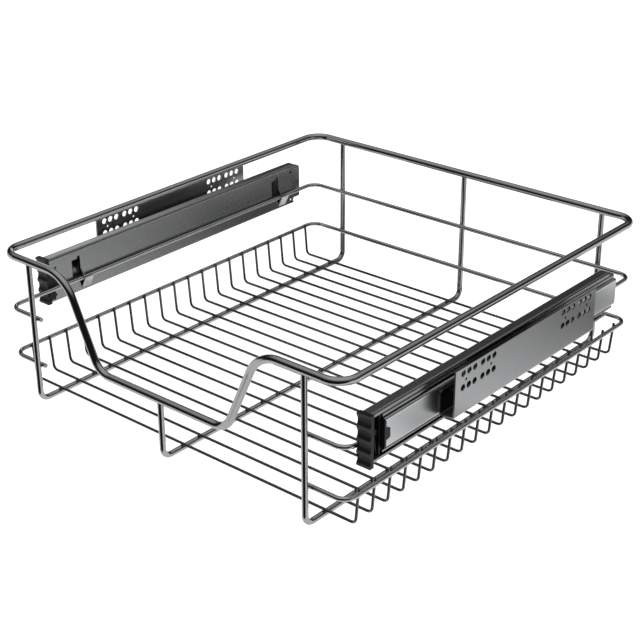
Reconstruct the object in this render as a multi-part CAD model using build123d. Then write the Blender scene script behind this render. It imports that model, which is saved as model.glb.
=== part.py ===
from build123d import *
import math
import os

os.makedirs("parts", exist_ok=True)

# Sizes in millimetres. X runs left to right, Y front to back, Z up.
# The origin is under the middle of the basket, level with the bottom of its frame wires.

# Wire diameters
rail_wire = 7.2
frame_wire = 5.4
ring_wire = 4.2
cross_wire = 2.6
weld_bite = 0.1             # how far welded wires sink into each other

# Basket outline, on the wires' centre lines
basket_height = 145.1       # overall, floor of the frame wires to the top of the rail
rail_width = 400.0
rail_depth = 437.6
rail_corner = 18.0
dip_top_width = 229.0       # front dip, between its sharp corners
dip_bottom_width = 154.0
dip_depth = 82.5
dip_top_bend = 34.0
dip_bottom_bend = 20.0
outer_frame_x = 162.6       # left and right frame wires, from the middle
frame_bend = 9.0
leg_recess = 0.2            # legs' outer face behind the rail's outer face
ring_outset = 1.5           # side runs of both rings outside the rail's
ring_corner = 12.0
ring_stub = 5.3             # front returns, past the outer legs' centre lines
middle_ring_z = 84.6
lower_ring_z = 37.8
cross_wire_count = 20
cross_wire_inset = 22.6     # first and last wires inside the rail's centre line
floor_draw_in = 6.0         # floor bends inside the rings' side runs
cross_bend = 5.0
tip_rise = 0.4              # wire tips above the top of the lower ring

# Slides. In a slide, x runs from the basket side outwards, y from the channel's front end
# back, and z from the slide's middle up.
slide_height = 45.0
slide_thickness = 12.7
sheet = 1.2
wire_gap = 0.1              # ring wire to the channel's web
slide_rise = 7.6            # slide's middle above the middle ring
right_setback = 21.0        # channel's front end behind the rail's front face
left_setback = 58.0
channel_length = 350.0
channel_depth = 11.0        # web to the outer face of the lips
channel_lip = 3.6
web_bend = 1.8              # bend radii on the sheet's middle line
lip_bend = 1.6
member_gap = 1.0            # web to web, channel to middle member
middle_setback = 14.0
middle_length = 346.0
middle_depth = 8.4
middle_lip = 3.0
hook_relief = 2.0           # middle member's opening round each window and tongue
cabinet_setback = 15.0
cabinet_length = 346.0
cabinet_depth = 7.5
travel = 350.0

# Balls and their cages
ball_diameter = 3.6
ball_clearance = 0.05
groove_depth = 0.2
balls_in_group = 4
ball_pitch = 7.0
ball_end = 8.0              # first ball from the end of its cage
cage_length = 150.0
cage_sheet = 0.5
cage_gap = 0.25             # cage's web to the channel's web
inner_cage_gap = 0.5        # inner cage's web to the middle member's web
cage_edge = 0.8             # cage's flange to the lip beside it
pocket_clearance = 0.1

# Hooks lanced from the channel's web, and its cut-outs
front_hook_place = 27.0     # window's front edge, from the channel's front end
rear_hook_inset = 38.0      # window's front edge, from the channel's rear end
window_width = 10.5
window_top = 15.0
window_sill = 0.5           # window's lower edge above the ring wire
hook_width = 11.0
hook_clearance = 0.05
hook_root = 6.0             # tongue's root above the channel's lower edge
hook_blend = 3.0
hook_rise = 0.6             # tongue's tip above the ring wire's middle
hook_slit = 0.6
tab_height = 7.0
tab_gap = 0.4
front_notch_depth = 8.0
front_notch_low = -5.4
front_notch_high = 13.0
star_points = 6
star_radius = 5.8
star_waist = 4.1
star_y = 1.2
star_z = -14.9
star_rise = 0.7             # star boss beyond the channel's web
rear_notch_depth = 3.4
rear_notches = ((18.5, 15.0, 9.6), (-12.2, -18.6, -22.6))    # top, deepest point, bottom
rear_hole = 3.5
rear_hole_y = 6.8
rear_hole_z = 15.0
rear_slot_length = 7.0
rear_slot_width = 2.8
rear_slot_z = -17.5

# End caps and stops
cap_thickness = 5.0
cap_overhang = 0.7          # cap beyond the slide, above, below and outside
cap_ribs = 5
cap_rib = 2.0
cap_valley = 1.6            # depth between ribs
plug_depth = 12.0
plug_fit = 0.1
plug_round = 1.5
pocket_depth = 5.6
pocket_wall = 1.6
rib_round = 0.4
hub_radius = 3.4            # small star in the plug's pocket
hub_waist = 2.1
hub_z = 3.5
hub_recess = 0.8
brace_width = 1.5
stop_gap = 0.9              # end cap's plug to the stop
stop_inner_reach = 12.0
stop_tongue = 5.0           # tongue's reach back over the web
stop_tongue_half = 5.5
stop_tongue_taper = 1.4
stop_round = 1.0
stop_tongue_sheet = 0.9

# Brackets
bracket_sheet = 1.5
bracket_bend = 2.25
bracket_reach = 15.6        # cabinet member's outer face to the plate's outer face
bracket_setback = 84.0
bracket_length = 212.0
bracket_drop = 12.3         # bracket's underside below the slide's middle
bracket_plate_height = 43.0
bracket_wall_height = 21.2
bracket_wall_round = 4.0
bracket_plate_round = 1.0
hole_diameter = 6.0
small_hole_diameter = 2.6
hole_group_offset = 74.0    # group's middle from the plate's middle
hole_pitch = 8.0
hole_middle_gap = 11.0
holes_each_side = 3
hole_row_spacing = 12.7
top_row_drop = 4.9
small_hole_offset = 17.5
rivet_shank = 4.0
rivet_head = 7.0
rivet_head_height = 1.2
rivet_places = (20.0, 106.0, 192.0)

# Places that follow from the sizes
rail_x = rail_width / 2
rail_y = rail_depth / 2
rail_z = basket_height - rail_wire / 2
dip_z = rail_z - dip_depth
leg_y = rail_y + (rail_wire - frame_wire) / 2 - leg_recess
ring_x = rail_x + ring_outset
ring_y = leg_y - (frame_wire + ring_wire) / 2 + weld_bite
cross_z = frame_wire + cross_wire / 2 - weld_bite
slide_x = ring_x + ring_wire / 2 + wire_gap
slide_z = middle_ring_z + slide_rise
half_height = slide_height / 2
ball_radius = ball_diameter / 2
ball_x = slide_thickness / 2
outer_ball_z = half_height - sheet + groove_depth - ball_clearance - ball_radius
middle_top = outer_ball_z - ball_radius - ball_clearance + groove_depth
inner_ball_z = middle_top - sheet + groove_depth - ball_clearance - ball_radius
cabinet_top = inner_ball_z - ball_radius - ball_clearance + groove_depth
middle_x = sheet + member_gap
wire_x = -(ring_wire / 2 + wire_gap)
wire_z = middle_ring_z - slide_z
outer_cage_y = (middle_setback - travel / 2 + channel_length - travel) / 2 + travel * 3 / 4
inner_cage_y = (middle_setback + middle_length - travel / 2 + cabinet_setback) / 2 + travel / 4


def bent_wire(points, radii, diameter, closed=False):
    """Round wire along straight runs joined by arcs."""
    path = FilletPolyline(*points, radius=radii, close=closed)
    section = Plane(origin=path @ 0, z_dir=path % 0) * Circle(diameter / 2)
    return sweep(section, path=path)


def across(outline, length, start=0.0):
    """Outline drawn in x and z, pushed back along y from start."""
    return Pos(0, start, 0) * extrude(Plane.XZ * outline, amount=length, dir=(0, 1, 0))


def through_web(outline, depth=sheet, start=0.0):
    """Outline drawn in y and z, pushed outwards along x from start."""
    return Pos(start, 0, 0) * extrude(Plane.YZ * outline, amount=depth)


def sheet_strip(points, radii, length, thickness, start=0.0):
    """Bent sheet, its middle line given in x and z."""
    return across(trace(FilletPolyline(*points, radius=radii), thickness), length, start)


def block(x_range, y_range, z_range):
    """Box between three pairs of limits."""
    sizes = [high - low for low, high in (x_range, y_range, z_range)]
    low = Pos(x_range[0], y_range[0], z_range[0])
    return low * Box(*sizes, align=(Align.MIN, Align.MIN, Align.MIN))


def grooves(height):
    """Pair of ball grooves along the slide, above and below its middle."""
    length = channel_length + middle_length
    groove = Rot(90, 0, 0) * Cylinder(ball_radius + ball_clearance, length * 2)
    return [Pos(ball_x, 0, side * height) * groove for side in (-1, 1)]


# ---- basket ----

def top_rail():
    front = -rail_y
    points = [
        (rail_x, rail_y, rail_z),
        (rail_x, front, rail_z),
        (dip_top_width / 2, front, rail_z),
        (dip_bottom_width / 2, front, dip_z),
        (-dip_bottom_width / 2, front, dip_z),
        (-dip_top_width / 2, front, rail_z),
        (-rail_x, front, rail_z),
        (-rail_x, rail_y, rail_z),
    ]
    dip_bends = [dip_top_bend, dip_bottom_bend, dip_bottom_bend, dip_top_bend]
    corners = [rail_corner, rail_corner]
    return bent_wire(points, corners + dip_bends + corners, rail_wire, closed=True)


def ring(height):
    stub_x = outer_frame_x - ring_stub
    points = [
        (-stub_x, -ring_y, height),
        (-ring_x, -ring_y, height),
        (-ring_x, ring_y, height),
        (ring_x, ring_y, height),
        (ring_x, -ring_y, height),
        (stub_x, -ring_y, height),
    ]
    return bent_wire(points, [ring_corner] * 4, ring_wire)


def frame_wire_at(x, front_run_z, rail):
    """U-shaped wire whose leg ends are cut to fit round the rail."""
    radius = rail_wire / 2
    end_drop = math.sqrt(radius**2 - (radius - leg_recess) ** 2)
    points = [
        (x, -leg_y, front_run_z - end_drop),
        (x, -leg_y, frame_wire / 2),
        (x, leg_y, frame_wire / 2),
        (x, leg_y, rail_z - end_drop),
    ]
    return bent_wire(points, [frame_bend] * 2, frame_wire) - rail


def cross_wire_at(y):
    side_x = ring_x - (ring_wire + cross_wire) / 2 + weld_bite
    floor_x = ring_x - floor_draw_in
    tip_z = lower_ring_z + ring_wire / 2 + tip_rise
    lean = (side_x - floor_x) / (lower_ring_z - cross_z)
    tip_x = side_x + lean * (tip_z - lower_ring_z)
    points = [(-tip_x, y, tip_z), (-floor_x, y, cross_z), (floor_x, y, cross_z), (tip_x, y, tip_z)]
    return bent_wire(points, [cross_bend] * 2, cross_wire)


# ---- slide members, as on the right-hand side ----

def hook_places():
    """Front edges of the two windows."""
    return front_hook_place, channel_length - rear_hook_inset


def hook(y):
    """Leaning tongue that holds the ring wire against the web, and the tab above the wire."""
    root_z = -half_height + hook_root
    reach = math.hypot(wire_x, wire_z - root_z)
    lean = math.asin(-wire_x / reach) + math.asin((ring_wire / 2 + hook_clearance) / reach)
    length = (wire_z + hook_rise - root_z) / math.cos(lean)
    tip = (-length * math.sin(lean), root_z + length * math.cos(lean))
    back = (-sheet * math.cos(lean), -sheet * math.sin(lean))
    tongue = Polygon(
        (sheet / 2, root_z),
        (0, root_z),
        tip,
        (tip[0] + back[0], tip[1] + back[1]),
        (back[0], root_z + back[1]),
        (0, root_z - hook_blend),
        (sheet / 2, root_z - hook_blend),
        align=None,
    )
    tab_z = wire_z + ring_wire / 2 + tab_gap
    tab = Polygon((sheet / 2, tab_z), (2 * wire_x, tab_z), (sheet / 2, tab_z + tab_height), align=None)
    hook_y = y + window_width
    return across(tongue, hook_width, hook_y) + across(tab, sheet, hook_y)


def hook_openings(y):
    """Window in front of a hook, and the opening its tongue was cut from."""
    sill = wire_z + ring_wire / 2 + window_sill
    root_z = -half_height + hook_root
    hook_y = y + window_width
    window = block((-sheet, 2 * sheet), (y, hook_y), (sill, window_top))
    slit_ends = (hook_y - hook_slit, hook_y + hook_width + hook_slit)
    behind_tongue = block((-sheet, 2 * sheet), slit_ends, (root_z, wire_z + hook_rise))
    return [window, behind_tongue]


def star(radius, waist, y, z):
    points = []
    for step in range(2 * star_points):
        angle = math.pi * step / star_points
        size = radius if step % 2 == 0 else waist
        points.append((size * math.cos(angle), size * math.sin(angle)))
    return Pos(y, z) * Polygon(*points, align=None)


def rear_cuts():
    """Notched end, round hole and slot at the back of the channel's web."""
    end = channel_length
    cuts = []
    for top, deepest, bottom in rear_notches:
        outline = Polygon((end, top), (end - rear_notch_depth, deepest), (end, bottom), align=None)
        cuts.append(through_web(outline, 3 * sheet, -sheet))
    hole = Pos(end - rear_hole_y, rear_hole_z) * Circle(rear_hole / 2)
    slot = Pos(end - rear_hole_y, rear_slot_z) * Rot(0, 0, 90) * SlotOverall(rear_slot_length, rear_slot_width)
    cuts += [through_web(outline, 3 * sheet, -sheet) for outline in (hole, slot)]
    return cuts


def drawer_channel():
    web = sheet / 2
    lip = channel_depth - sheet / 2
    flange = half_height - sheet / 2
    lip_end = half_height - channel_lip
    points = [(lip, lip_end), (lip, flange), (web, flange), (web, -flange), (lip, -flange), (lip, -lip_end)]
    body = sheet_strip(points, [lip_bend, web_bend, web_bend, lip_bend], channel_length, sheet)
    notch = block((-sheet, 2 * sheet), (-sheet, front_notch_depth), (front_notch_low, front_notch_high))
    body -= grooves(outer_ball_z)
    body -= [notch, through_web(star(star_radius, star_waist, star_y, star_z), 3 * sheet, -sheet)]
    body -= rear_cuts()
    for place in hook_places():
        body -= hook_openings(place)
        body += hook(place)
    return body


def middle_member():
    web = middle_x + sheet / 2
    lip = middle_x + middle_depth - sheet / 2
    flange = middle_top - sheet / 2
    lip_end = middle_top - middle_lip
    points = [(lip, lip_end), (lip, flange), (web, flange), (web, -flange), (lip, -flange), (lip, -lip_end)]
    bends = [lip_bend, lip_bend, lip_bend, lip_bend]
    body = sheet_strip(points, bends, middle_length, sheet, middle_setback)
    half_relief = inner_ball_z - ball_radius - hook_relief
    for place in hook_places():
        y_range = (place - hook_relief, place + window_width + hook_width + hook_relief)
        body -= block((middle_x - sheet, middle_x + 2 * sheet), y_range, (-half_relief, half_relief))
    return body - grooves(outer_ball_z) - grooves(inner_ball_z)


def rivet_axes():
    return [Pos(0, bracket_setback + place, 0) * Rot(0, 90, 0) for place in rivet_places]


def cabinet_member():
    web = slide_thickness - sheet / 2
    end = slide_thickness - cabinet_depth
    flange = cabinet_top - sheet / 2
    points = [(end, flange), (web, flange), (web, -flange), (end, -flange)]
    body = sheet_strip(points, [web_bend] * 2, cabinet_length, sheet, cabinet_setback)
    holes = [axis * Cylinder(rivet_shank / 2, 4 * slide_thickness) for axis in rivet_axes()]
    return body - grooves(inner_ball_z) - holes


def ball_places(middle_y, height):
    start = middle_y - cage_length / 2 + ball_end
    end = middle_y + cage_length / 2 - ball_end
    rows = [start + step * ball_pitch for step in range(balls_in_group)]
    rows += [end - step * ball_pitch for step in range(balls_in_group)]
    return [Pos(ball_x, y, side * height) for y in rows for side in (-1, 1)]


def balls(middle_y, height):
    return Compound(children=[place * Sphere(ball_radius) for place in ball_places(middle_y, height)])


def ball_cage(web_start, flange_end, middle_y, height):
    """Thin channel with a round pocket for every ball."""
    web = web_start + cage_sheet / 2
    points = [(flange_end, height), (web, height), (web, -height), (flange_end, -height)]
    start = middle_y - cage_length / 2
    body = sheet_strip(points, [cage_sheet] * 2, cage_length, cage_sheet, start)
    pocket = Cylinder(ball_radius + pocket_clearance, 4 * cage_sheet)
    return body - [place * pocket for place in ball_places(middle_y, height)]


# ---- plastic pieces ----

def rounded_plug(x_range, y_range, half_z):
    body = block(x_range, y_range, (-half_z, half_z))
    return fillet(body.edges().filter_by(Axis.Y), plug_round)


def end_cap():
    """Ribbed front with a plug that fills the end of the drawer channel."""
    half = half_height + cap_overhang
    pitch = (2 * half - cap_rib) / (cap_ribs - 1)
    edges = []
    for rib in range(cap_ribs):
        top = half - rib * pitch
        edges.append(Line((-cap_thickness, top), (-cap_thickness, top - cap_rib)))
        if rib < cap_ribs - 1:
            valley_start = (-cap_thickness, top - cap_rib)
            valley_middle = (-cap_thickness + cap_valley, top - (cap_rib + pitch) / 2)
            valley_end = (-cap_thickness, top - pitch)
            edges.append(ThreePointArc(valley_start, valley_middle, valley_end))
    edges.append(Polyline((-cap_thickness, -half), (0, -half), (0, half), (-cap_thickness, half)))
    front = through_web(make_face(edges), slide_thickness + cap_overhang)
    front = fillet(front.edges().filter_by(Axis.X).group_by(Axis.Y)[0], rib_round)

    inner = sheet + plug_fit
    outer = channel_depth - sheet - plug_fit
    half_plug = half_height - sheet - plug_fit
    plug = rounded_plug((inner, outer), (0, plug_depth), half_plug)
    pocket_y = (pocket_wall, plug_depth - pocket_wall)
    pocket_end = half_plug - 2 * pocket_wall
    floor = outer - pocket_depth
    plug -= block((floor, outer + sheet), pocket_y, (-pocket_end, pocket_end))
    hub_y = plug_depth / 2
    hub_height = pocket_depth - hub_recess
    plug += through_web(star(hub_radius, hub_waist, hub_y, hub_z), hub_height, floor)
    brace = Polygon(
        (pocket_y[1] - brace_width, -pocket_end),
        (pocket_y[1], -pocket_end),
        (hub_y + brace_width / 2, hub_z),
        (hub_y - brace_width / 2, hub_z),
        align=None,
    )
    plug += through_web(brace, hub_height - hub_recess, floor)

    notch_low = front_notch_low + plug_fit
    notch_high = front_notch_high - plug_fit
    snap = block((0, inner), (0, front_notch_depth - plug_fit), (notch_low, notch_high))
    boss = star(star_radius - plug_fit, star_waist - plug_fit, star_y, star_z)
    boss = through_web(boss, inner + star_rise, -star_rise)
    return front + plug + snap + boss


def cabinet_stop():
    """Plastic block on the front end of the cabinet member."""
    inner = slide_thickness - cabinet_depth + plug_fit
    web = slide_thickness - sheet
    front_y = (plug_depth + stop_gap, cabinet_setback)
    outer = slide_thickness + stop_tongue_sheet
    nose = block((inner, outer), front_y, (-cabinet_top + plug_round, cabinet_top - plug_round))
    nose = fillet(nose.edges().filter_by(Axis.X).group_by(Axis.Y)[0], stop_round)
    core_y = (cabinet_setback, cabinet_setback + stop_inner_reach)
    core = rounded_plug((inner, web - plug_fit), core_y, cabinet_top - sheet - plug_fit)
    tongue_end = cabinet_setback + stop_tongue
    tongue = Polygon(
        (cabinet_setback, -stop_tongue_half),
        (tongue_end, -stop_tongue_half + stop_tongue_taper),
        (tongue_end, stop_tongue_half - stop_tongue_taper),
        (cabinet_setback, stop_tongue_half),
        align=None,
    )
    tongue = through_web(fillet(tongue.vertices().group_by(Axis.X)[-1], stop_round),
                         stop_tongue_sheet, slide_thickness)
    return nose + core + tongue


# ---- brackets ----

def hole_columns():
    """Distances of one group's columns from the group's middle."""
    first = hole_middle_gap / 2
    distances = [first + step * hole_pitch for step in range(holes_each_side)]
    return [side * distance for side in (-1, 1) for distance in distances]


def bracket():
    """Low inner wall on the cabinet member, foot, and tall plate with the screw holes."""
    wall = slide_thickness + bracket_sheet / 2
    plate = slide_thickness + bracket_reach - bracket_sheet / 2
    foot = -bracket_drop + bracket_sheet / 2
    wall_top = bracket_wall_height - bracket_drop
    plate_top = bracket_plate_height - bracket_drop
    points = [(wall, wall_top), (wall, foot), (plate, foot), (plate, plate_top)]
    body = sheet_strip(points, [bracket_bend] * 2, bracket_length, bracket_sheet, bracket_setback)

    corners = body.edges().filter_by(Axis.X).filter_by(lambda edge: edge.length < 2 * bracket_sheet)
    wall_corners = corners.filter_by(lambda edge: edge.center().X < (wall + plate) / 2 and edge.center().Z > 0)
    body = fillet(wall_corners, bracket_wall_round)
    corners = body.edges().filter_by(Axis.X).filter_by(lambda edge: edge.length < 2 * bracket_sheet)
    plate_corners = corners.filter_by(lambda edge: edge.center().X > (wall + plate) / 2 and edge.center().Z > 0)
    body = fillet(plate_corners, bracket_plate_round)

    plate_middle = bracket_setback + bracket_length / 2
    top_row = plate_top - top_row_drop
    row_middle = top_row - hole_row_spacing / 2
    screw_hole = Cylinder(hole_diameter / 2, 3 * bracket_sheet)
    small_hole = Cylinder(small_hole_diameter / 2, 3 * bracket_sheet)
    cuts = []
    for group in (-1, 1):
        group_y = plate_middle + group * hole_group_offset
        for column in hole_columns():
            for row_z in (top_row, top_row - hole_row_spacing):
                cuts.append(Pos(plate, group_y + column, row_z) * Rot(0, 90, 0) * screw_hole)
        for side in (-1, 1):
            small_y = group_y + side * small_hole_offset
            cuts.append(Pos(plate, small_y, row_middle) * Rot(0, 90, 0) * small_hole)
    cuts += [axis * Pos(0, 0, wall) * Cylinder(rivet_shank / 2, 3 * bracket_sheet) for axis in rivet_axes()]
    return body - cuts


def bracket_rivets():
    """Rivets through the bracket's inner wall and the cabinet member's web."""
    inside = slide_thickness - sheet
    outside = slide_thickness + bracket_sheet
    rivets = []
    for axis in rivet_axes():
        bottom = (Align.CENTER, Align.CENTER, Align.MIN)
        shank = Pos(0, 0, inside) * Cylinder(rivet_shank / 2, outside - inside, align=bottom)
        head = Cylinder(rivet_head / 2, rivet_head_height, align=bottom)
        rivet = shank + Pos(0, 0, outside) * head + Pos(0, 0, inside - rivet_head_height) * head
        rivets.append(axis * rivet)
    return Compound(children=rivets)


def slide_pieces():
    outer_end = channel_depth - sheet - cage_edge
    inner_end = middle_x + middle_depth - sheet - cage_edge
    inner_web = middle_x + sheet + inner_cage_gap
    return {
        "drawer_channel": drawer_channel(),
        "end_cap": end_cap(),
        "middle_member": middle_member(),
        "outer_ball_cage": ball_cage(sheet + cage_gap, outer_end, outer_cage_y, outer_ball_z),
        "outer_balls": balls(outer_cage_y, outer_ball_z),
        "inner_ball_cage": ball_cage(inner_web, inner_end, inner_cage_y, inner_ball_z),
        "inner_balls": balls(inner_cage_y, inner_ball_z),
        "cabinet_member": cabinet_member(),
        "cabinet_stop": cabinet_stop(),
        "bracket": bracket(),
        "bracket_rivets": bracket_rivets(),
    }


# ---- the whole object ----

rail = top_rail()
pieces = {
    "top_rail": rail,
    "middle_ring": ring(middle_ring_z),
    "lower_ring": ring(lower_ring_z),
    "left_frame_wire": frame_wire_at(-outer_frame_x, rail_z, rail),
    "middle_frame_wire": frame_wire_at(0, dip_z, rail),
    "right_frame_wire": frame_wire_at(outer_frame_x, rail_z, rail),
}
for number in range(cross_wire_count):
    y = (rail_depth - 2 * cross_wire_inset) * (number / (cross_wire_count - 1) - 0.5)
    pieces[f"cross_wire_{number + 1:02d}"] = cross_wire_at(y)

rail_front = -rail_y - rail_wire / 2
for name, shape in slide_pieces().items():
    right_place = Pos(slide_x, rail_front + right_setback, slide_z)
    left_place = Pos(-slide_x, rail_front + left_setback, slide_z)
    pieces[f"right_{name}"] = right_place * shape
    pieces[f"left_{name}"] = left_place * mirror(shape, about=Plane.YZ)

for name, shape in pieces.items():
    export_step(shape, f"parts/{name}.step")
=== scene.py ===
import math

import bmesh
import bpy
from mathutils import Matrix, Vector


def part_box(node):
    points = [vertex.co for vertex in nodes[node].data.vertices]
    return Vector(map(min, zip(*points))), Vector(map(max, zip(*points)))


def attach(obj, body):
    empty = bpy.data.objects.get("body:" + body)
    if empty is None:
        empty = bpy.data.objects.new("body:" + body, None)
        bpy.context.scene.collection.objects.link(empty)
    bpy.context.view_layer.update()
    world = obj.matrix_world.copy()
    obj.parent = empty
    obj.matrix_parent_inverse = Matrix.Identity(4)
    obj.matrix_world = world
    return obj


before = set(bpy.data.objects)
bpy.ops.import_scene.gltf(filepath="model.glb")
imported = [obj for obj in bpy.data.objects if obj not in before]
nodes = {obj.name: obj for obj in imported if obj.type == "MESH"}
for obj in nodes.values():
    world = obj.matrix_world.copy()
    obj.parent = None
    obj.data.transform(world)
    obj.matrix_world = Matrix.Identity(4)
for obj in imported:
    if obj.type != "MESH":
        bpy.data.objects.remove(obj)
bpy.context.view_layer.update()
print("packed basket loaded:", len(nodes), "pieces")


class Value:
    # a socket that takes part in sums
    def __init__(self, finish, socket):
        self.finish = finish
        self.socket = socket

    def math(self, operation, first, second):
        return self.finish.add("ShaderNodeMath", {"operation": operation}, {0: first, 1: second})

    def __add__(self, other):
        return self.math("ADD", self, other)

    def __sub__(self, other):
        return self.math("SUBTRACT", self, other)

    def __rsub__(self, other):
        return self.math("SUBTRACT", other, self)

    def __mul__(self, other):
        return self.math("MULTIPLY", self, other)

    def clamped(self):
        return self.finish.add("ShaderNodeClamp", {}, {0: self})

    def atLeast(self, lowest):
        return self.math("MAXIMUM", self, lowest)

    def size(self):
        # without its sign
        return self.math("ABSOLUTE", self, 0.0)

    __radd__ = __add__
    __rmul__ = __mul__


class Finish:
    # one material and the nodes behind it
    def __init__(self, name, tree=None):
        self.material = None
        if tree is None:
            self.material = bpy.data.materials.new(name)
            self.material.use_nodes = True
            tree = self.material.node_tree
        self.tree = tree
        self.tree.nodes.clear()

    def add(self, kind, settings=None, inputs=None, output=0):
        node = self.tree.nodes.new(kind)
        for key, setting in (settings or {}).items():
            setattr(node, key, setting)
        for key, given in (inputs or {}).items():
            if isinstance(given, Value):
                self.tree.links.new(given.socket, node.inputs[key])
            else:
                node.inputs[key].default_value = given
        return Value(self, node.outputs[output]) if len(node.outputs) else node

    def place(self, scale):
        spot = self.add("ShaderNodeTexCoord", output="Object")
        return self.add("ShaderNodeMapping", {}, {"Vector": spot, "Scale": scale})

    def noise(self, scale, detail, stretch=(1, 1, 1)):
        inputs = {"Vector": self.place(stretch), "Scale": scale, "Detail": detail}
        return self.add("ShaderNodeTexNoise", {}, inputs)

    def coordinate(self, letter):
        spot = self.add("ShaderNodeTexCoord", output="Object")
        return self.add("ShaderNodeSeparateXYZ", {}, {0: spot}, output=letter)

    def mixColours(self, factor, first, second):
        # sockets 6 and 7 are the two colours, and output 2 is their mix
        settings = {"data_type": "RGBA"}
        return self.add("ShaderNodeMix", settings, {0: factor, 6: first, 7: second}, output=2)

    def bump(self, height, distance):
        inputs = {"Height": height, "Distance": distance, "Strength": 1.0}
        return self.add("ShaderNodeBump", {}, inputs)

    def close(self, shader):
        self.add("ShaderNodeOutputMaterial", {}, {"Surface": shader})
        return self.material


# plated wire and rolled strip are slightly cooler than grey
wireTint = 0.01
stripTint = 0.015


def grey(level, tint=0.0):
    # tint above 0 cools the grey a little
    return (level * (1 - tint), level, level * (1 + tint), 1)


def makeChrome(name, values):
    # plated wire: clouded polish and small pits
    finish = Finish(name)
    clouds = finish.noise(values["cloudScale"], detail=3)
    pits = finish.noise(values["pitScale"], detail=2)
    shade = finish.mixColours(clouds, grey(values["dark"], wireTint), grey(values["light"], wireTint))
    rough = values["roughness"] + clouds * values["roughnessSpread"]
    return finish.close(finish.add("ShaderNodeBsdfPrincipled", {}, {
        "Base Color": shade,
        "Metallic": 1.0,
        "Roughness": rough,
        "Normal": finish.bump(pits, values["pitDepth"]),
    }))


def makeRolledSteel(name, values, place=None):
    # rolled strip: faint streaks along the slide, soft patches, and painted light in a given place: a
    # painted highlight on the slide's hooks, painted shade in the bracket's hollow and holes
    finish = Finish(name)
    streaks = finish.noise(values["streakScale"], detail=4, stretch=(1, values["streakStretch"], 1))
    patches = finish.noise(values["patchScale"], detail=2)
    mix = values["streakShare"] * streaks + (1 - values["streakShare"]) * patches
    shade = finish.mixColours(mix, grey(values["dark"], stripTint), grey(values["light"], stripTint))
    # painted light: the given place gets a grey of its own, lighter for a highlight, darker for shade
    if place:
        shade = finish.mixColours(place(finish), shade, grey(values["paintedLevel"], stripTint))
    rough = values["roughness"] + values["roughnessSpread"] * mix
    return finish.close(finish.add("ShaderNodeBsdfPrincipled", {}, {
        "Base Color": shade,
        "Metallic": 1.0,
        "Roughness": rough,
        "Normal": finish.bump(streaks, values["streakDepth"]),
    }))


def paintedLightOnHooks(finish):
    # 1 on the hooks, which stand out of the drawer channel's web towards the basket, at least
    # webDepth in from the channel's outer side. There the steel gets a painted highlight, a lighter grey
    # than the strip it is lanced from
    side = finish.coordinate("X").size()
    inward = channelBox[1].x - slideSteel["webDepth"] - side
    return (inward * slideSteel["placeEdge"]).clamped()


def paintedShadeInsideBracket(finish):
    # 1 in the hollow behind the bracket's plate and in its holes, which get painted shade, a dark grey
    # for the shade there. Inside the holes it starts above the plate's lower bend and one skin below the
    # plate's face
    side = finish.coordinate("X").size()
    height = finish.coordinate("Z")
    edge = bracketSteel["placeEdge"]
    behindPlate = ((plateBox[1].x - bracketSteel["plate"] - side) * edge).clamped()
    aboveFloor = ((height - plateBox[0].z - bracketSteel["plate"]) * edge).clamped()
    inHoles = ((plateBox[1].x - bracketSteel["skin"] - side) * edge).clamped()
    aboveBend = ((height - plateBox[0].z - bracketSteel["bend"]) * edge).clamped()
    behindEnd = ((finish.coordinate("Y") - plateBox[0].y - bracketSteel["skin"]) * edge).clamped()
    return (behindPlate * aboveFloor).atLeast(inHoles * aboveBend) * behindEnd


def paintedHighlightOnCrests(cap):
    # 1 on the foremost skin of a cap, the crests of its ribs, which get a painted highlight
    def place(finish):
        forward = cap[0].y + capPlastic["crestSkin"] - finish.coordinate("Y")
        return (forward * capPlastic["crestEdge"]).clamped()
    return place


def makePlastic(name, values, place=None):
    # moulded plastic: fine grain, slightly polished high spots and, where a place is given, a painted
    # highlight on the crests
    finish = Finish(name)
    grain = finish.noise(values["grainScale"], detail=3)
    wear = finish.noise(values["wearScale"], detail=2)
    shade = finish.mixColours(wear, grey(values["dark"]), grey(values["light"]))
    # painted highlight: the given place gets a lighter grey
    if place:
        shade = finish.mixColours(place(finish), shade, grey(values["paintedHighlightLevel"]))
    rough = values["roughness"] + values["roughnessSpread"] * wear
    return finish.close(finish.add("ShaderNodeBsdfPrincipled", {}, {
        "Base Color": shade,
        "Roughness": rough,
        "Specular IOR Level": values["gloss"],
        "Normal": finish.bump(grain, values["grainDepth"]),
    }))


thickWire = {
    "dark": 0.38, "light": 0.45, "roughness": 0.09, "roughnessSpread": 0.05,
    "cloudScale": 60, "pitScale": 900, "pitDepth": 0.000004,
}
# the rings' plating is a lighter grey than the same plating on the frame wires: painted light that offsets
# the dark reflections of the slides and brackets in them
ringWire = {
    "dark": 0.46, "light": 0.54, "roughness": 0.10, "roughnessSpread": 0.05,
    "cloudScale": 60, "pitScale": 900, "pitDepth": 0.000004,
}
thinWire = {
    "dark": 0.12, "light": 0.17, "roughness": 0.14, "roughnessSpread": 0.06,
    "cloudScale": 80, "pitScale": 900, "pitDepth": 0.000004,
}
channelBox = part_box("right_drawer_channel")
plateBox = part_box("right_bracket")
# the slide's place grey is a painted highlight: the hooks get a lighter grey than the strip they are
# lanced from
slideSteel = {
    "dark": 0.31, "light": 0.34, "roughness": 0.24, "roughnessSpread": 0.04, "streakShare": 0.2,
    "streakScale": 700, "streakStretch": 0.03, "streakDepth": 0.0000001, "patchScale": 14,
    "paintedLevel": 0.66, "placeEdge": 4000, "webDepth": 0.0113,
}
memberSteel = {
    "dark": 0.62, "light": 0.68, "roughness": 0.26, "roughnessSpread": 0.05, "streakShare": 0.3,
    "streakScale": 700, "streakStretch": 0.03, "streakDepth": 0.0000001, "patchScale": 14,
}
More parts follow.
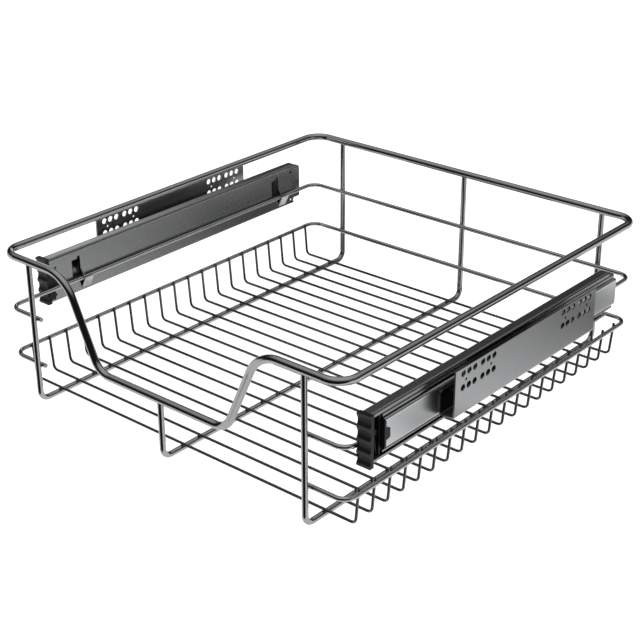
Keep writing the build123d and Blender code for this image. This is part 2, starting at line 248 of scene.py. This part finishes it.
# the bracket's place grey is painted shade: a dark grey in the hollow behind the plate and in its holes
bracketSteel = {
    "dark": 0.42, "light": 0.46, "roughness": 0.26, "roughnessSpread": 0.06, "streakShare": 0.3,
    "streakScale": 600, "streakStretch": 0.03, "streakDepth": 0.000001, "patchScale": 18,
    "paintedLevel": 0.12, "placeEdge": 8000, "plate": 0.0015, "skin": 0.0002, "bend": 0.0034,
}
cageSteel = {
    "dark": 0.42, "light": 0.5, "roughness": 0.2, "roughnessSpread": 0.08, "streakShare": 0.5,
    "streakScale": 800, "streakStretch": 0.05, "streakDepth": 0.000001, "patchScale": 30,
}
ballSteel = {
    "dark": 0.5, "light": 0.56, "roughness": 0.06, "roughnessSpread": 0.02,
    "cloudScale": 200, "pitScale": 2000, "pitDepth": 0.000001,
}
weldChrome = {
    "dark": 0.24, "light": 0.34, "roughness": 0.16, "roughnessSpread": 0.10,
    "cloudScale": 400, "pitScale": 1500, "pitDepth": 0.00001,
}
# the caps' crest grey is a painted highlight on the rib crests, lighter than the black plastic
capPlastic = {
    "dark": 0.006, "light": 0.010, "roughness": 0.42, "roughnessSpread": 0.10, "gloss": 0.3,
    "grainScale": 1500, "grainDepth": 0.00002, "wearScale": 90,
    "paintedHighlightLevel": 0.045, "crestSkin": 0.0005, "crestEdge": 4000,
}

finishes = {
    "thick": makeChrome("thickWireChrome", thickWire),
    "ring": makeChrome("ringWireChromePaintedLighter", ringWire),
    "thin": makeChrome("thinWireChrome", thinWire),
    "weld": makeChrome("weldedWireChrome", weldChrome),
    "slide": makeRolledSteel("rolledSlideSteel", slideSteel, paintedLightOnHooks),
    "member": makeRolledSteel("paleMemberSteel", memberSteel),
    "bracket": makeRolledSteel("satinBracketSteel", bracketSteel),
    "shadedBracket": makeRolledSteel("paintedShadeInsideBracketSteel", bracketSteel, paintedShadeInsideBracket),
    "cage": makeRolledSteel("ballCageStrip", cageSteel),
    "ball": makeChrome("polishedBallSteel", ballSteel),
    "leftCap": makePlastic("leftCapPlastic", capPlastic, paintedHighlightOnCrests(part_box("left_end_cap"))),
    "rightCap": makePlastic("rightCapPlastic", capPlastic, paintedHighlightOnCrests(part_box("right_end_cap"))),
    "plastic": makePlastic("blackMouldedPlastic", capPlastic),
}

finishOfPiece = [
    ("cross_wire", "thin"), ("ring", "ring"), ("frame_wire", "thick"), ("top_rail", "thick"),
    ("balls", "ball"), ("cage", "cage"), ("rivets", "ball"),
    ("right_bracket", "shadedBracket"), ("left_bracket", "bracket"),
    ("left_end_cap", "leftCap"), ("right_end_cap", "rightCap"), ("cabinet_stop", "plastic"),
    ("cabinet_member", "member"), ("middle_member", "slide"), ("channel", "slide"),
]
for name, piece in nodes.items():
    chosen = next(finish for word, finish in finishOfPiece if word in name)
    piece.data.materials.clear()
    piece.data.materials.append(finishes[chosen])
print("finishes set")


# weld marks where the basket's wires touch, each a small uneven cushion of metal, in metres
weld = {
    "frame": 0.0054, "ring": 0.0042, "cross": 0.0026,
    "swell": 1.15, "flat": 0.5, "uneven": 0.10, "waves": 1300,
}


def touchPlaces():
    # where two wires touch, the way they face each other and the thinner wire's size
    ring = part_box("lower_ring")
    ringHeights = [sum(end.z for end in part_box(name)) / 2 for name in ("middle_ring", "lower_ring")]
    crossWires = [name for name in nodes if name.startswith("cross_wire")]
    crossPlaces = [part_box(name)[0].y + weld["cross"] / 2 for name in crossWires]
    across, along, up = Vector((1, 0, 0)), Vector((0, 1, 0)), Vector((0, 0, 1))
    places = []
    for name in ("left_frame_wire", "middle_frame_wire", "right_frame_wire"):
        low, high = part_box(name)
        x = (low.x + high.x) / 2
        places += [((x, y, low.z + weld["frame"]), up, weld["cross"]) for y in crossPlaces]
        legs = [high.y - weld["frame"]]
        if name != "middle_frame_wire":
            legs.append(low.y + weld["frame"])
        for y in legs:
            places += [((x, y, z), along, weld["ring"]) for z in ringHeights]
    for x in (ring[0].x + weld["ring"], ring[1].x - weld["ring"]):
        places += [((x, y, ringHeights[1]), across, weld["cross"]) for y in crossPlaces]
    return places


def makeWelds():
    made = bmesh.new()
    for place, facing, wire in touchPlaces():
        middle = Vector(place)
        turn = facing.to_track_quat("Z", "Y").to_matrix().to_4x4()
        radius = wire / 2 * weld["swell"]
        shape = Matrix.Diagonal((radius, radius, radius * weld["flat"], 1))
        placed = Matrix.Translation(middle) @ turn @ shape
        ball = bmesh.ops.create_icosphere(made, subdivisions=2, radius=1, matrix=placed)
        for vertex in ball["verts"]:
            spot = vertex.co * weld["waves"]
            wave = math.sin(spot.x + spot.z) * math.cos(spot.y)
            vertex.co = middle + (vertex.co - middle) * (1 + weld["uneven"] * wave)
    for face in made.faces:
        face.smooth = True
    mesh = bpy.data.meshes.new("weldMarks")
    made.to_mesh(mesh)
    made.free()
    mesh.materials.append(finishes["weld"])
    welds = bpy.data.objects.new("weldMarks", mesh)
    bpy.context.scene.collection.objects.link(welds)
    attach(welds, "basket")


makeWelds()
print("weld marks made")


studio = {
    "floorShade": 0.8, "floorGlow": 0.8, "floorSize": 8.0,
    "skyForLight": 0.45,
    "keyPower": 9.0, "keySize": 1.2, "keyPlace": (-0.7, -0.9, 1.7),
    "fillPower": 5.0, "fillSize": 1.0, "fillPlace": (1.5, -0.3, 1.3),
    "lampsAimAt": (0, 0, 0.07),
}


def makeFlat(name, corners):
    mesh = bpy.data.meshes.new(name)
    mesh.from_pydata(corners, [], [(0, 1, 2, 3)])
    flat = bpy.data.objects.new(name, mesh)
    bpy.context.scene.collection.objects.link(flat)
    return flat


def makeFloor():
    half = studio["floorSize"] / 2
    corners = [(-half, -half, 0), (half, -half, 0), (half, half, 0), (-half, half, 0)]
    floor = makeFlat("floor", corners)
    finish = Finish("paleFloor")
    diffuse = finish.add("ShaderNodeBsdfDiffuse", {}, {"Color": grey(studio["floorShade"])})
    seen = finish.add("ShaderNodeLightPath", output="Is Camera Ray")
    glow = finish.add("ShaderNodeEmission", {}, {"Strength": seen * studio["floorGlow"]})
    floor.data.materials.append(finish.close(finish.add("ShaderNodeAddShader", {}, {0: diffuse, 1: glow})))
    floor.visible_glossy = False  # metal mirrors the room, which is as pale as the floor below


# grey cards that only metal mirrors, pale in front and dark at the back: three on the floor and
# one that stands outside the left slide
cards = {
    "height": 0.0005, "paleTo": 0.0, "darkFrom": 0.29, "pale": 1.0, "dark": 0.08,
    "left": ((-0.17, -0.10), (0.03, 0.60)), "right": ((0.29, -0.10), (0.45, 0.345)),
    "sideX": -0.36, "sideY": (-0.06, 0.45), "sideZ": (0.165, 0.25), "sidePale": 1.0,
    "leftPaleTo": -0.02, "leftDarkFrom": 0.24,
    "member": ((0.28, -0.10), (0.335, 0.008)), "memberPaleTo": -0.080, "memberDarkFrom": -0.02,
}


def paintCard(card, pale, paleTo, darkFrom):
    finish = Finish(card.name + "Paint")
    rearward = (finish.coordinate("Y") - paleTo) * (1 / (darkFrom - paleTo))
    strength = pale + (cards["dark"] - pale) * rearward.clamped()
    card.data.materials.append(finish.close(finish.add("ShaderNodeEmission", {}, {"Strength": strength})))
    card.visible_camera = False
    card.visible_diffuse = False
    card.visible_shadow = False
    card.visible_transmission = False


def floorCard(side, lift, paleTo, darkFrom):
    low, high = cards[side]
    height = cards["height"] * lift
    around = [(low[0], low[1]), (high[0], low[1]), (high[0], high[1]), (low[0], high[1])]
    corners = [(x, y, height) for x, y in around]
    paintCard(makeFlat(side + "FloorCard", corners), cards["pale"], paleTo, darkFrom)


def makeCards():
    floorCard("left", 1, cards["leftPaleTo"], cards["leftDarkFrom"])
    floorCard("right", 1, cards["paleTo"], cards["darkFrom"])
    floorCard("member", 2, cards["memberPaleTo"], cards["memberDarkFrom"])
    front, back = cards["sideY"]
    low, high = cards["sideZ"]
    x = cards["sideX"]
    corners = [(x, front, low), (x, back, low), (x, back, high), (x, front, high)]
    paintCard(makeFlat("sideCard", corners), cards["sidePale"], cards["paleTo"], cards["darkFrom"])


# what bare metal mirrors: a pale floor, a dark belt of room and a softly lit ceiling
room = {
    "dark": 0.015, "edge": 0.10, "topEdge": 0.24, "floor": 0.9,
    "ceilingLow": 0.30, "ceilingHigh": 0.68, "beltTop": 0.53, "beltFoot": 0.05,
    "footDrop": 2.2, "dropStart": 0.33, "dropSide": (0.26, -0.97, 0),
}


def mirroredRoom(finish):
    # each soft edge is centred on its height by the added half
    direction = finish.add("ShaderNodeTexCoord", output="Generated")
    height = finish.add("ShaderNodeSeparateXYZ", {}, {0: direction}, output="Z")
    operation = {"operation": "DOT_PRODUCT"}
    inputs = {0: direction, 1: room["dropSide"]}
    side = finish.add("ShaderNodeVectorMath", operation, inputs, "Value")
    foot = room["beltFoot"] - room["footDrop"] * (side - room["dropStart"]).atLeast(0)
    below = ((foot - height) * (1 / room["edge"]) + 0.5).clamped()
    above = ((height - room["beltTop"]) * (1 / room["topEdge"]) + 0.5).clamped()
    rise = ((height - room["beltTop"]) * (1 / (1 - room["beltTop"]))).clamped()
    ceiling = room["ceilingLow"] + (room["ceilingHigh"] - room["ceilingLow"]) * rise
    return room["dark"] + room["floor"] * below + ceiling * above


def makeSky():
    world = bpy.data.worlds.new("studioSky")
    bpy.context.scene.world = world
    world.use_nodes = True
    finish = Finish("studioSky", world.node_tree)
    lightPath = world.node_tree.nodes.new("ShaderNodeLightPath")
    camera = Value(finish, lightPath.outputs["Is Camera Ray"])
    gloss = Value(finish, lightPath.outputs["Is Glossy Ray"])
    low = studio["skyForLight"]
    strength = low + camera * (1 - low) + gloss * (mirroredRoom(finish) - low)
    sky = finish.add("ShaderNodeBackground", {}, {"Color": grey(1), "Strength": strength})
    finish.add("ShaderNodeOutputWorld", {}, {"Surface": sky})


def addSoftbox(name, power, size, place):
    lamp = bpy.data.lights.new(name, "AREA")
    lamp.energy = power
    lamp.size = size
    holder = bpy.data.objects.new(name, lamp)
    holder.location = place
    holder.visible_glossy = False  # metal mirrors the room alone
    aim = Vector(studio["lampsAimAt"]) - Vector(place)
    holder.rotation_euler = aim.to_track_quat("-Z", "Y").to_euler()
    bpy.context.scene.collection.objects.link(holder)


# turn is measured from looking straight back, tilt is down from level
camera = {
    "place": (0.8120, -0.9600, 0.6551), "turn": 40.53, "tilt": 25.53, "roll": -0.19,
    "lens": 82.2, "sensor": 36.0,
}


def makeCamera():
    data = bpy.data.cameras.new("camera")
    data.lens = camera["lens"]
    data.sensor_width = camera["sensor"]
    holder = bpy.data.objects.new("camera", data)
    turn = Matrix.Rotation(math.radians(camera["turn"]), 4, "Z")
    tilt = Matrix.Rotation(math.radians(90 - camera["tilt"]), 4, "X")
    roll = Matrix.Rotation(math.radians(camera["roll"]), 4, "Z")
    holder.matrix_world = Matrix.Translation(camera["place"]) @ turn @ tilt @ roll
    bpy.context.scene.collection.objects.link(holder)
    bpy.context.scene.camera = holder


makeFloor()
makeCards()
makeSky()
addSoftbox("keyLight", studio["keyPower"], studio["keySize"], studio["keyPlace"])
addSoftbox("fillLight", studio["fillPower"], studio["fillSize"], studio["fillPlace"])
makeCamera()
bpy.context.scene.view_settings.view_transform = "Standard"
print("studio ready")
